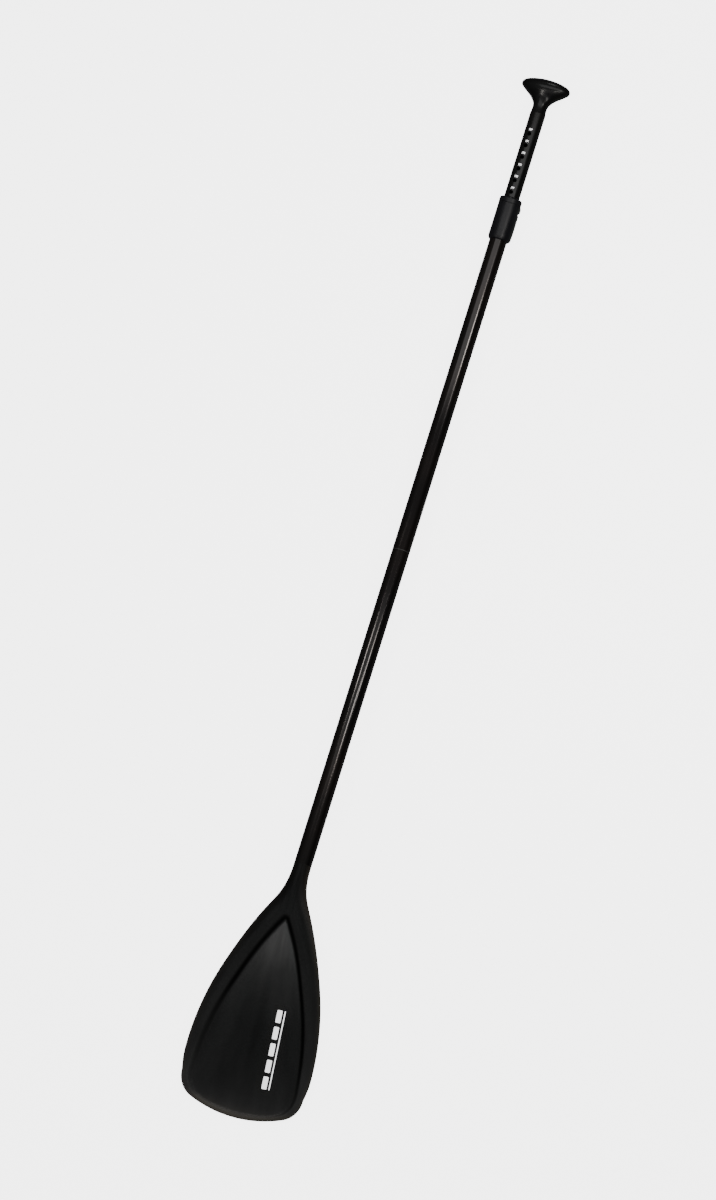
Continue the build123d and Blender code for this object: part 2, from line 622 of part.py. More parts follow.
# The pad's face follows the handle tube.
with BuildPart() as lever_pad:
    with BuildSketch(Plane.XY.offset(PAD_BACK_Z)):
        with Locations(((PAD_LOW_X + PAD_HIGH_X) / 2, 0)):
            Rectangle(PAD_HIGH_X - PAD_LOW_X, 2 * PAD_HALF_WIDTH)
    extrude(amount=-PAD_BACK_Z - HANDLE_BORE)
    with BuildSketch(Plane.YZ.offset(PAD_LOW_X - 1)):
        Circle(HANDLE_RADIUS + FREE_GAP)
    extrude(amount=PAD_HIGH_X - PAD_LOW_X + 2, mode=Mode.SUBTRACT)
lever_pad.part.label = "lever_pad"
export_step(lever_pad.part, "parts/lever_pad.step")

# The pivot is a screw that threads into a long nut; both heads sit in the collar's ears.
with BuildPart() as lever_pivot_nut:
    with BuildSketch(Plane.XZ.offset(-EAR_OUTER_Y)):
        with Locations((PIVOT_X, PIVOT_Z)):
            Circle(PIVOT_HEAD_RADIUS)
    extrude(amount=EAR_OUTER_Y - PIVOT_HEAD_Y - GLUE_GAP)
    with BuildSketch(Plane.XZ.offset(-EAR_OUTER_Y)):
        with Locations((PIVOT_X, PIVOT_Z)):
            Circle(PIVOT_RADIUS)
    extrude(amount=EAR_OUTER_Y + NUT_REACH)
    with BuildSketch(Plane.XZ.offset(NUT_REACH)):
        with Locations((PIVOT_X, PIVOT_Z)):
            Circle(THREAD_RADIUS + GLUE_GAP)
    extrude(amount=-NUT_BORE_DEPTH, mode=Mode.SUBTRACT)
    with BuildSketch(Plane.XZ.offset(-EAR_OUTER_Y)):
        with Locations((PIVOT_X, PIVOT_Z)):
            RegularPolygon(PIVOT_SOCKET_RADIUS, 6)
    extrude(amount=SOCKET_DEPTH, mode=Mode.SUBTRACT)
lever_pivot_nut.part.label = "lever_pivot_nut"
export_step(lever_pivot_nut.part, "parts/lever_pivot_nut.step")

with BuildPart() as lever_pivot_screw:
    with BuildSketch(Plane.XZ.offset(EAR_OUTER_Y)):
        with Locations((PIVOT_X, PIVOT_Z)):
            Circle(PIVOT_HEAD_RADIUS)
    extrude(amount=-(EAR_OUTER_Y - PIVOT_HEAD_Y - GLUE_GAP))
    with BuildSketch(Plane.XZ.offset(EAR_OUTER_Y)):
        with Locations((PIVOT_X, PIVOT_Z)):
            Circle(PIVOT_RADIUS)
    extrude(amount=-(EAR_OUTER_Y - NUT_REACH - GLUE_GAP))
    with BuildSketch(Plane.XZ.offset(EAR_OUTER_Y)):
        with Locations((PIVOT_X, PIVOT_Z)):
            Circle(THREAD_RADIUS)
    extrude(amount=-(EAR_OUTER_Y - NUT_REACH + NUT_BORE_DEPTH - NUT_BORE_SPARE))
    with BuildSketch(Plane.XZ.offset(EAR_OUTER_Y)):
        with Locations((PIVOT_X, PIVOT_Z)):
            RegularPolygon(PIVOT_SOCKET_RADIUS, 6)
    extrude(amount=-SOCKET_DEPTH, mode=Mode.SUBTRACT)
lever_pivot_screw.part.label = "lever_pivot_screw"
export_step(lever_pivot_screw.part, "parts/lever_pivot_screw.step")

# ---------------------------------------------------------------- handle section
holes_middle_x = FIRST_HOLE_X - HOLE_PITCH * (HOLE_COUNT - 1) / 2

with BuildPart() as handle_tube:
    with BuildSketch(Plane.YZ.offset(HANDLE_BOTTOM)):
        Circle(HANDLE_RADIUS)
        Circle(HANDLE_BORE, mode=Mode.SUBTRACT)
    extrude(amount=HANDLE_TOP - HANDLE_BOTTOM)
    with Locations((holes_middle_x, 0, 0)):
        with GridLocations(HOLE_PITCH, HOLE_PITCH, HOLE_COUNT, 1):
            Cylinder(HOLE_RADIUS, 4 * HANDLE_RADIUS, mode=Mode.SUBTRACT)
    with Locations((GRIP_PIN_X, 0, -HANDLE_RADIUS)):
        Cylinder(GRIP_PIN_RADIUS + GLUE_GAP, HANDLE_RADIUS, mode=Mode.SUBTRACT)
handle_tube.part.label = "handle_tube"
export_step(handle_tube.part, "parts/handle_tube.step")

with BuildPart() as handle_end_plug:
    with BuildSketch(Plane.YZ.offset(HANDLE_BOTTOM - PLUG_FLANGE_LENGTH)):
        Circle(SHAFT_BORE - PLUG_GAP)
    extrude(amount=PLUG_FLANGE_LENGTH)
    chamfer(handle_end_plug.edges().group_by(Axis.X)[0], PLUG_CHAMFER)
    with BuildSketch(Plane.YZ.offset(HANDLE_BOTTOM)):
        Circle(HANDLE_BORE - GLUE_GAP)
    extrude(amount=PLUG_STEM_LENGTH)
    with BuildSketch(Plane.YZ.offset(HANDLE_BOTTOM + PLUG_STEM_LENGTH)):
        Circle(HANDLE_BORE - PLUG_WALL)
    extrude(amount=-PLUG_STEM_LENGTH, mode=Mode.SUBTRACT)
handle_end_plug.part.label = "handle_end_plug"
export_step(handle_end_plug.part, "parts/handle_end_plug.step")

rim_x, rim_half_width, rim_half_depth = GRIP_SECTIONS[-1]
dome_height = (GRIP_TOP - rim_x) / sin(radians(GRIP_DOME_LAST_ANGLE))

with BuildPart() as grip:
    for height, half_width, half_depth in GRIP_SECTIONS:
        with BuildSketch(Plane.YZ.offset(height)):
            Ellipse(half_width, half_depth)
    loft()
    for step in range(GRIP_DOME_STEPS + 1):
        angle = radians(GRIP_DOME_LAST_ANGLE * step / GRIP_DOME_STEPS)
        with BuildSketch(Plane.YZ.offset(rim_x + dome_height * sin(angle))):
            Ellipse(rim_half_width * cos(angle), rim_half_depth * cos(angle))
    loft(ruled=True)
    with BuildSketch(Plane.YZ.offset(GRIP_STEM_BOTTOM)):
        Circle(GRIP_STEM_RADIUS)
    extrude(amount=HANDLE_TOP - GRIP_STEM_BOTTOM + 1)
    with Locations((GRIP_PIN_X, 0, -HANDLE_RADIUS)):
        Cylinder(GRIP_PIN_RADIUS + GLUE_GAP, 2 * GRIP_PIN_LENGTH + 1, mode=Mode.SUBTRACT)
grip.part.label = "grip"
export_step(grip.part, "parts/grip.step")

with BuildPart() as grip_pin:
    with BuildSketch(Plane.XY.offset(-HANDLE_RADIUS + FLUSH_SINK)):
        with Locations((GRIP_PIN_X, 0)):
            Circle(GRIP_PIN_RADIUS)
    extrude(amount=GRIP_PIN_LENGTH)
grip_pin.part.label = "grip_pin"
export_step(grip_pin.part, "parts/grip_pin.step")
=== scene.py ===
"""Black adjustable single blade paddle, lying face up on a pale floor.

Metres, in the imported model's frame.
"""
from math import cos, pi, radians, sin

import bmesh
import bpy
import numpy as np
from mathutils import Matrix, Vector
from mathutils.kdtree import KDTree


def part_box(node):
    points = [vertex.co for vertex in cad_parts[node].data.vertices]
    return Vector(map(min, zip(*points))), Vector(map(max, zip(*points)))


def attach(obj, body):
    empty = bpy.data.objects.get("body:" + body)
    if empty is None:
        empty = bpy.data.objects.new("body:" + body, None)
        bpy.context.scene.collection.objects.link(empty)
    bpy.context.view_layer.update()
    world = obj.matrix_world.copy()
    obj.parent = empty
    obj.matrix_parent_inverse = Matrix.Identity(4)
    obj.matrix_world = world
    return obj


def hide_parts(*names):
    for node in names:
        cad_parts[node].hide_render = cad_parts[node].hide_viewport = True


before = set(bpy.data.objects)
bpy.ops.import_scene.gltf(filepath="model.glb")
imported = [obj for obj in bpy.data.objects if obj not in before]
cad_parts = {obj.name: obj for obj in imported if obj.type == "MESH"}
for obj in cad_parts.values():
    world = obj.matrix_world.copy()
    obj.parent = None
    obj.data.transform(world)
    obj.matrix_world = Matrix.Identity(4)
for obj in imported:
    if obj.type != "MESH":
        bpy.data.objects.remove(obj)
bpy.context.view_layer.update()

MM = 0.001

# ---------------------------------------------------------------- places taken from the frame
SHAFT_RADIUS = (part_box("middle_shaft")[1].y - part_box("middle_shaft")[0].y) / 2 / MM
HANDLE_RADIUS = (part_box("handle_tube")[1].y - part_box("handle_tube")[0].y) / 2 / MM
NECK_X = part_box("lower_shaft")[0].x / MM
BLADE_LENGTH = NECK_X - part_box("blade")[0].x / MM
STEM_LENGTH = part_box("blade")[1].x / MM - NECK_X
HANDLE_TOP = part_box("handle_tube")[1].x / MM
GRIP_STEM_LENGTH = HANDLE_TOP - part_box("grip")[0].x / MM
SHAFT_WALL = 1.25
HANDLE_WALL = 1.2


# ---------------------------------------------------------------- curves and meshes
def through(points, at):
    """A natural cubic curve through (x, y) points, read at the values in at."""
    x, y = np.array(points, float).T
    at = np.clip(at, x[0], x[-1])
    gap = np.diff(x)
    rise = np.diff(y) / gap
    count = len(x)
    system, right = np.eye(count), np.zeros(count)
    for i in range(1, count - 1):
        system[i, i - 1 : i + 2] = gap[i - 1], 2 * (gap[i - 1] + gap[i]), gap[i]
        right[i] = 6 * (rise[i] - rise[i - 1])
    bend = np.linalg.solve(system, right)
    i = np.clip(np.searchsorted(x, at) - 1, 0, count - 2)
    low, high = x[i + 1] - at, at - x[i]
    return (
        (bend[i] * low**3 + bend[i + 1] * high**3) / (6 * gap[i])
        + (y[i] / gap[i] - bend[i] * gap[i] / 6) * low
        + (y[i + 1] / gap[i] - bend[i + 1] * gap[i] / 6) * high
    )


def ease(value, start, end):
    """0 before start, 1 after end, and a smooth step between them."""
    t = np.clip((value - start) / (end - start), 0, 1)
    return t * t * (3 - 2 * t)


def arc(centre, radius, start, end, count):
    """Points of an arc from one angle to another, in radians."""
    angle = np.linspace(start, end, count)
    return np.column_stack([centre[0] + radius * np.cos(angle), centre[1] + radius * np.sin(angle)])


def along(line, fraction):
    """Points of a polyline at fractions of its length."""
    length = np.concatenate([[0], np.cumsum(np.linalg.norm(np.diff(line, axis=0), axis=1))])
    at = np.asarray(fraction) * length[-1]
    return np.stack([np.interp(at, length, line[:, 0]), np.interp(at, length, line[:, 1])], axis=-1)


def distance_to(line, points):
    """Distance of each point from a polyline."""
    shape = points.shape[:-1]
    points = points.reshape(-1, 1, 2)
    start, step = line[None, :-1], np.diff(line, axis=0)[None]
    share = ((points - start) * step).sum(-1) / np.maximum((step**2).sum(-1), 1e-12)
    nearest = start + np.clip(share, 0, 1)[..., None] * step
    return np.linalg.norm(points - nearest, axis=-1).min(1).reshape(shape)


def mesh_object(name, vertices, faces, material, body, sharp_degrees=35):
    """A smooth shaded piece that rides on a body. Vertices are in millimetres."""
    mesh = bpy.data.meshes.new(name)
    mesh.from_pydata([tuple(v) for v in np.asarray(vertices) * MM], [], faces)
    build = bmesh.new()
    build.from_mesh(mesh)
    bmesh.ops.remove_doubles(build, verts=build.verts, dist=0.002 * MM)
    bmesh.ops.recalc_face_normals(build, faces=build.faces)
    build.to_mesh(mesh)
    build.free()
    mesh.polygons.foreach_set("use_smooth", [True] * len(mesh.polygons))
    mesh.set_sharp_from_angle(angle=radians(sharp_degrees))
    mesh.materials.append(material)
    piece = bpy.data.objects.new(name, mesh)
    bpy.context.scene.collection.objects.link(piece)
    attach(piece, body)
    return piece


def store_on_points(piece, name, places, values):
    """Gives each vertex the value of the nearest place, as a named attribute for the materials."""
    nearest = KDTree(len(places))
    for index, place in enumerate(places):
        nearest.insert(place, index)
    nearest.balance()
    layer = piece.data.attributes.new(name, "FLOAT", "POINT")
    layer.data.foreach_set("value", [values[nearest.find(v.co)[1]] for v in piece.data.vertices])


def ring_faces(rows, columns):
    """Quads between closed rings, and a face over each end."""
    faces = []
    for row in range(rows - 1):
        for column in range(columns):
            after = (column + 1) % columns
            here, there = row * columns, (row + 1) * columns
            faces.append((here + column, here + after, there + after, there + column))
    faces.append(tuple(range(columns)))
    faces.append(tuple(range((rows - 1) * columns, rows * columns)))
    return faces


# ---------------------------------------------------------------- materials
def new_material(name, colour, roughness, metallic=0.0, specular=0.5):
    made = bpy.data.materials.new(name)
    made.use_nodes = True
    shader = made.node_tree.nodes["Principled BSDF"]
    shader.inputs["Base Color"].default_value = (*colour, 1)
    shader.inputs["Roughness"].default_value = roughness
    shader.inputs["Metallic"].default_value = metallic
    shader.inputs["Specular IOR Level"].default_value = specular
    return made, made.node_tree, shader


def noise(tree, scale, stretch=(1, 1, 1), detail=4.0, seed=0.0):
    """A noise texture on object coordinates, with scale in cells per metre."""
    place = tree.nodes.new("ShaderNodeTexCoord")
    mapping = tree.nodes.new("ShaderNodeMapping")
    mapping.inputs["Scale"].default_value = stretch
    mapping.inputs["Location"].default_value = (seed, seed * 0.7, seed * 0.3)
    texture = tree.nodes.new("ShaderNodeTexNoise")
    texture.inputs["Scale"].default_value = scale
    texture.inputs["Detail"].default_value = detail
    tree.links.new(place.outputs["Object"], mapping.inputs["Vector"])
    tree.links.new(mapping.outputs["Vector"], texture.inputs["Vector"])
    return texture.outputs["Fac"]


def attribute(tree, name):
    node = tree.nodes.new("ShaderNodeAttribute")
    node.attribute_name = name
    return node.outputs["Fac"]


def remap(tree, value, low, high, start=0.3, end=0.7):
    node = tree.nodes.new("ShaderNodeMapRange")
    node.inputs["From Min"].default_value = start
    node.inputs["From Max"].default_value = end
    node.inputs["To Min"].default_value = low
    node.inputs["To Max"].default_value = high
    tree.links.new(value, node.inputs["Value"])
    return node.outputs["Result"]


def combine(tree, operation, first, second):
    node = tree.nodes.new("ShaderNodeMath")
    node.operation = operation
    for socket, value in zip(node.inputs, (first, second)):
        if isinstance(value, float):
            socket.default_value = value
        else:
            tree.links.new(value, socket)
    return node.outputs["Value"]


def mix_colour(tree, factor, first, second):
    node = tree.nodes.new("ShaderNodeMix")
    node.data_type = "RGBA"
    for socket, value in ((node.inputs["A"], first), (node.inputs["B"], second)):
        if isinstance(value, tuple):
            socket.default_value = (*value, 1)
        else:
            tree.links.new(value, socket)
    tree.links.new(factor, node.inputs["Factor"])
    return node.outputs["Result"]


def bump(tree, shader, layers):
    """Stacks (height, strength, distance in mm) layers into the shader's normal."""
    normal = None
    for height, strength, distance in layers:
        node = tree.nodes.new("ShaderNodeBump")
        node.inputs["Strength"].default_value = strength
        node.inputs["Distance"].default_value = distance * MM
        tree.links.new(height, node.inputs["Height"])
        if normal:
            tree.links.new(normal, node.inputs["Normal"])
        normal = node.outputs["Normal"]
    tree.links.new(normal, shader.inputs["Normal"])


def anodised_aluminium(name, colour, warm, rough_low, rough_high):
    """Drawn tube under a thin dyed oxide: faint draw lines, slow colour drift and a few rubbed streaks."""
    made, tree, shader = new_material(name, colour, 0.25, metallic=0.55, specular=0.5)
    draw_lines = noise(tree, 900, stretch=(0.012, 1, 1), detail=3, seed=1.3)
    drift = noise(tree, 9, detail=2, seed=4.1)
    rubbed = noise(tree, 160, stretch=(0.06, 1, 1), detail=6, seed=7.7)
    tree.links.new(mix_colour(tree, remap(tree, drift, 0, 1), colour, warm), shader.inputs["Base Color"])
    roughness = combine(
        tree,
        "ADD",
        remap(tree, drift, rough_low, rough_high),
        remap(tree, rubbed, 0.0, 0.12, 0.58, 0.72),
    )
    tree.links.new(roughness, shader.inputs["Roughness"])
    bump(tree, shader, [(draw_lines, 0.10, 0.02), (rubbed, 0.06, 0.03)])
    shader.inputs["Coat Weight"].default_value = 0.25
    shader.inputs["Coat Roughness"].default_value = 0.12
    return made


def moulded_plastic(name, colour, light, rough_low, rough_high, grain=1400.0, depth=0.05, specular=0.45):
    """Moulded nylon or ABS: a fine eroded grain, slow gloss patches and paler scuffs."""
    made, tree, shader = new_material(name, colour, rough_high, specular=specular)
    fine = noise(tree, grain, detail=3, seed=2.2)
    patches = noise(tree, 22, detail=5, seed=5.5)
    scuffs = noise(tree, 300, stretch=(0.35, 1, 1), detail=8, seed=9.1)
    scuffed = remap(tree, scuffs, 0, 0.5, 0.6, 0.75)
    tone = combine(tree, "ADD", combine(tree, "MULTIPLY", remap(tree, patches, 0, 1), 0.4), scuffed)
    tree.links.new(mix_colour(tree, tone, colour, light), shader.inputs["Base Color"])
    uneven = remap(tree, patches, rough_low, rough_high)
    roughness = combine(tree, "ADD", uneven, remap(tree, fine, 0, 0.06))
    tree.links.new(roughness, shader.inputs["Roughness"])
    bump(tree, shader, [(patches, 0.05, 0.4), (fine, 0.35, depth)])
    return made


def blade_nylon():
    """Glass-filled nylon: streaks fanning from the neck, a fine grain, a glossier panel and a paler rim,
    with painted shade in the crease round the panel, a painted sheen on the panel and a painted shadow
    along the ridge.
    """
    dark, pale, rim = (0.0030, 0.0031, 0.0032), (0.0270, 0.0275, 0.0272), (0.115, 0.100, 0.080)
    made, tree, shader = new_material("blade_nylon", dark, 0.4, specular=0.45)
    fine = noise(tree, 1200, detail=3, seed=3.3)
    flow = noise(tree, 34, stretch=(0.25, 1, 1), detail=6, seed=6.4)
    patches = noise(tree, 14, detail=4, seed=8.8)
    scratches = noise(tree, 420, stretch=(0.05, 1, 1), detail=8, seed=1.9)
    crease_shade = attribute(tree, "crease_shade")
    place = tree.nodes.new("ShaderNodeTexCoord")
    split = tree.nodes.new("ShaderNodeSeparateXYZ")
    tree.links.new(place.outputs["Object"], split.inputs["Vector"])
    fan = tree.nodes.new("ShaderNodeCombineXYZ")
    tree.links.new(combine(tree, "MULTIPLY", attribute(tree, "fan"), 3.5), fan.inputs["X"])
    tree.links.new(combine(tree, "MULTIPLY", split.outputs["X"], 5.0), fan.inputs["Y"])
    streaks = tree.nodes.new("ShaderNodeTexNoise")
    streaks.inputs["Scale"].default_value = 2.2
    streaks.inputs["Detail"].default_value = 5
    tree.links.new(fan.outputs["Vector"], streaks.inputs["Vector"])
    streaked = remap(tree, streaks.outputs["Fac"], -0.20, 0.20)
    drifted = remap(tree, flow, -0.06, 0.06)
    # The tone attribute is a painted sheen on the panel, brightest at the apex, and it sets the specular
    # level too.
    tone_and_sheen = attribute(tree, "tone")
    tone = combine(tree, "ADD", tone_and_sheen, combine(tree, "MULTIPLY", streaked, tone_and_sheen))
    tone = combine(tree, "ADD", tone, drifted)
    gloss = combine(tree, "ADD", combine(tree, "MULTIPLY", tone, 0.50), 0.10)
    tone = mix_colour(tree, tone, dark, pale)
    # Painted shade: the crease round the panel is darkened towards near black.
    tone = mix_colour(tree, crease_shade, tone, (0.002, 0.002, 0.002))
    worn = combine(tree, "MULTIPLY", attribute(tree, "wear"), remap(tree, patches, 0.45, 1.0))
    tree.links.new(mix_colour(tree, worn, tone, rim), shader.inputs["Base Color"])
    glossier = combine(tree, "MULTIPLY", attribute(tree, "panel"), 0.10)
    moulded = combine(tree, "SUBTRACT", remap(tree, flow, 0.40, 0.46), glossier)
    roughness = combine(tree, "ADD", moulded, remap(tree, scratches, 0, 0.04, 0.55, 0.8))
    roughness = combine(tree, "ADD", roughness, combine(tree, "MULTIPLY", worn, 0.2))
    tree.links.new(roughness, shader.inputs["Roughness"])
    # The painted crease shade also dims the specular there.
    gloss = combine(tree, "MULTIPLY", gloss, remap(tree, crease_shade, 1.0, 0.3, 0.0, 1.0))
    tree.links.new(gloss, shader.inputs["Specular IOR Level"])
    bump(tree, shader, [(flow, 0.05, 0.5), (scratches, 0.02, 0.05), (fine, 0.22, 0.04)])
    return made


def grip_plastic():
    """Polished plastic with faint handling marks and a soft orange-peel surface."""
    made, tree, shader = new_material("grip_plastic", (0.006, 0.006, 0.0062), 0.2, specular=0.26)
    peel = noise(tree, 260, detail=2, seed=1.1)
    smears = noise(tree, 45, detail=6, seed=3.9)
    fine = noise(tree, 1500, detail=3, seed=6.2)
    tree.links.new(
        mix_colour(tree, remap(tree, smears, 0, 0.6), (0.004, 0.004, 0.0042), (0.011, 0.011, 0.0112)),
        shader.inputs["Base Color"],
    )
    tree.links.new(remap(tree, smears, 0.20, 0.32), shader.inputs["Roughness"])
    bump(tree, shader, [(peel, 0.08, 0.15), (fine, 0.10, 0.02)])
    shader.inputs["Coat Weight"].default_value = 0.10
    shader.inputs["Coat Roughness"].default_value = 0.08
    return made


def brushed_steel():
    made, tree, shader = new_material("steel", (0.50, 0.50, 0.51), 0.3, metallic=1.0)
    lines = noise(tree, 2500, stretch=(1, 0.08, 1), detail=3, seed=2.4)
    stain = noise(tree, 240, detail=4, seed=5.2)
    tree.links.new(
        mix_colour(tree, remap(tree, stain, 0, 1), (0.56, 0.56, 0.58), (0.38, 0.37, 0.36)),
        shader.inputs["Base Color"],
    )
    tree.links.new(remap(tree, lines, 0.22, 0.42), shader.inputs["Roughness"])
    bump(tree, shader, [(lines, 0.15, 0.01)])
    return made


def matte_rubber():
    made, tree, shader = new_material("black_rubber", (0.014, 0.014, 0.014), 0.7, specular=0.3)
    dust = noise(tree, 700, detail=6, seed=4.6)
    tree.links.new(
        mix_colour(tree, remap(tree, dust, 0, 1, 0.45, 0.75), (0.012, 0.012, 0.012), (0.035, 0.034, 0.032)),
        shader.inputs["Base Color"],
    )
    tree.links.new(remap(tree, dust, 0.6, 0.8), shader.inputs["Roughness"])
    bump(tree, shader, [(dust, 0.2, 0.05)])
    return made


def closed_cell_foam():
    made, tree, shader = new_material("foam", (0.05, 0.05, 0.052), 0.9, specular=0.2)
    cells = tree.nodes.new("ShaderNodeTexVoronoi")
    cells.inputs["Scale"].default_value = 900
    place = tree.nodes.new("ShaderNodeTexCoord")
    tree.links.new(place.outputs["Object"], cells.inputs["Vector"])
    tree.links.new(
        mix_colour(tree, cells.outputs["Distance"], (0.035, 0.035, 0.037), (0.09, 0.09, 0.093)),
        shader.inputs["Base Color"],
    )
    bump(tree, shader, [(cells.outputs["Distance"], 0.6, 0.3)])
    return made


def glowing_white_print():
    """Screen-printed ink: slightly uneven cover and a few rubbed specks. It also glows, a painted light
    that keeps it bright whatever the lamps do.
    """
    made, tree, shader = new_material("glowing_white_print", (0.86, 0.86, 0.86), 0.45)
    specks = noise(tree, 900, detail=8, seed=7.1)
    tree.links.new(
        mix_colour(tree, remap(tree, specks, 0, 0.7, 0.62, 0.78), (0.88, 0.88, 0.88), (0.35, 0.35, 0.35)),
        shader.inputs["Base Color"],
    )
    tree.links.new(remap(tree, specks, 0.38, 0.55), shader.inputs["Roughness"])
    bump(tree, shader, [(specks, 0.1, 0.03)])
    # Painted light: the ink glows as if lit.
    shader.inputs["Emission Color"].default_value = (1, 1, 1, 1)
    shader.inputs["Emission Strength"].default_value = 1.6
    return made


tube_black = anodised_aluminium("anodised_tube", (0.009, 0.008, 0.008), (0.020, 0.014, 0.012), 0.09, 0.15)
handle_black = anodised_aluminium(
    "handle_tube_black", (0.008, 0.008, 0.008), (0.016, 0.015, 0.014), 0.20, 0.30
)
collar_black = moulded_plastic(
    "collar_plastic", (0.006, 0.006, 0.008), (0.016, 0.017, 0.020), 0.28, 0.40, specular=0.36
)
lever_black = moulded_plastic("lever_plastic", (0.014, 0.014, 0.016), (0.034, 0.034, 0.038), 0.34, 0.46)
ferrule_black = moulded_plastic("ferrule_nylon", (0.030, 0.030, 0.030), (0.06, 0.058, 0.055), 0.35, 0.5)
bush_black = moulded_plastic("bush_acetal", (0.03, 0.03, 0.03), (0.05, 0.05, 0.05), 0.25, 0.35, depth=0.02)
blade_black = blade_nylon()
grip_black = grip_plastic()
steel = brushed_steel()
rubber = matte_rubber()
foam = closed_cell_foam()
glowing_white_ink = glowing_white_print()

for node_name, material in {
    "lower_shaft": tube_black,
    "middle_shaft": tube_black,
    "handle_tube": handle_black,
    "lower_float_bung": foam,
    "middle_float_bung": foam,
    "joint_ferrule": ferrule_black,
    "seal_ring": rubber,
    "ferrule_rivets": steel,
    "snap_button": steel,
    "snap_spring": steel,
    "clamp_collar": collar_black,
    "collar_screws": steel,
    "guide_bush": bush_black,
    "clamp_lever": lever_black,
    "locking_pin": steel,
    "lever_pad": rubber,
    "lever_pivot_nut": steel,
    "lever_pivot_screw": steel,
    "handle_end_plug": ferrule_black,
    "grip_pin": steel,
}.items():
    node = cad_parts[node_name]
    node.data.materials.clear()
    node.data.materials.append(material)

# ---------------------------------------------------------------- blade
# Stations are distances from the neck line towards the tip. Widths are from the middle line.
SIDE_WIDTHS = (
    (0, SHAFT_RADIUS),
    (12, 14.6),
    (30, 16.9),
    (50, 22.9),
    (74, 35.5),
    (112.3, 54.9),
    (164.5, 76.7),
    (215.7, 93.6),
    (267, 104.0),
    (319, 108.1),
    (340, 107.3),
    (359.5, 104.0),
)
TIP_ARC_RADIUS = 210.0
CORNER_RADIUS = 40.0
CORNER_HALF_SPREAD = 64.0
PATCH_START = 325.0

CANT_SLOPE = 0.15
CANT_START = 10.0
CANT_END = 110.0

# Heights above and below the middle surface, along the blade
RAIL_HEIGHT = (
    (0, 14.3),
    (50, 11.0),
    (75, 9.0),
    (97, 7.8),
    (130, 6.6),
    (180, 5.6),
    (240, 5.0),
    (300, 3.9),
    (350, 2.8),
    (BLADE_LENGTH, 2.0),
)
BACK_DEPTH = (
    (0, 14.3),
    (50, 10.5),
    (80, 8.0),
    (110, 6.4),
    (167, 5.0),
    (240, 4.2),
    (300, 3.6),
    (350, 3.0),
    (BLADE_LENGTH, 1.8),
)
FLOOR_HEIGHT = ((90, 2.4), (180, 1.3), (300, 0.7), (BLADE_LENGTH, 0.3))
SPINE_HEIGHT = (
    (0, 0.0),
    (60, 2.6),
    (110, 5.0),
    (170, 4.2),
    (240, 2.4),
    (310, 0.6),
    (350, 0.0),
    (BLADE_LENGTH, 0.0),
)
EDGE_HALF_THICKNESS = 1.7
EDGE_ROUNDING = 2.4
RAIL_CROWN_WIDTH = 17.0
BEAD_CROWN_WIDTH = 5.0
WALL_WIDTH = 9.0
BEAD_WALL_NARROWING = 0.45
RIDGE_HEIGHT = 1.3
RIDGE_WIDTH = 26.0
BACK_FULLNESS = 0.8
SPINE_WIDTH = 13
SPINE_END_WIDTH = 8

# Surface marks: rubbed rim and tip, painted shade in the crease round the panel, a painted shadow along the
# ridge and the fan of streaks
RIM_WEAR_WIDTH = 2.2
TIP_WEAR = 1.2
TIP_WEAR_WIDTH = 6.5
MARK_LEAD = 24
RIGHT_CREASE_SHADE_LOSS = 0.7
RIDGE_SHADOW = 0.35
RIDGE_SHADOW_WIDTH = 9
FAN_ORIGIN = 60
FAN_LEAST_REACH = 20

# How pale the moulding's skin is painted, from 0 to 1, on the rails and on the panel: stations, then
# values. On the panel this is a painted sheen, brightest at the apex; on the rails it grows paler towards
# the tip.
RAIL_TONE = (
    (0, 60, 110, 200, 300, 350, 385, 400),
    (0.20, 0.20, 0.28, 0.33, 0.50, 0.84, 0.95, 1.10),
)
PANEL_SHEEN_TONE = (
    (90, 140, 200, 260, 320, 370, 400),
    (1.10, 0.85, 0.42, 0.28, 0.34, 0.55, 0.85),
)

# Stations between which each change along the blade takes place
NECK_TO_PLATE = (22, 105)
TIP_BEAD_STARTS = (357, 392)
RIDGE_RISES = (100, 170)
RIDGE_ENDS = (320, 388)
SPINE_NARROWS = (80, 300)
CREASE_SHADE_ENDS = (380, 396)
LEFT_CREASE_SHADE_FADES = (190, 290)
RIGHT_CREASE_SHADE_FADES = (290, 380)
TIP_WEAR_STARTS = (382, 399)
RIDGE_SHADOW_STARTS = (150, 230)
RIDGE_SHADOW_ENDS = (300, 350)

# Half width of the panel's floor along the blade, and its rounded lower end
FLOOR_APEX = 93.5
APEX_LEAD = 25.0
FLOOR_SIDE = (
    (FLOOR_APEX, 0),
    (104, 6.5),
    (139, 26.0),
    (190, 48.0),
    (241.5, 66.5),
    (305.5, 81.0),
    (353, 86.0),
)
FLOOR_END = 403.0
FLOOR_END_CURVE = (
    (353, 86.0),
    (370.5, 84.5),
    (383.5, 77.5),
    (393.3, 62.0),
    (400.2, 34.0),
    (FLOOR_END, 0),
)


def centre_height(station):
    """The middle surface's height: level at the neck, then bending down to a straight cant."""
    bend = CANT_END - CANT_START
    into = np.clip(station - CANT_START, 0, bend)
    return -CANT_SLOPE * (into**2 / (2 * bend) + np.maximum(station - CANT_END, 0))


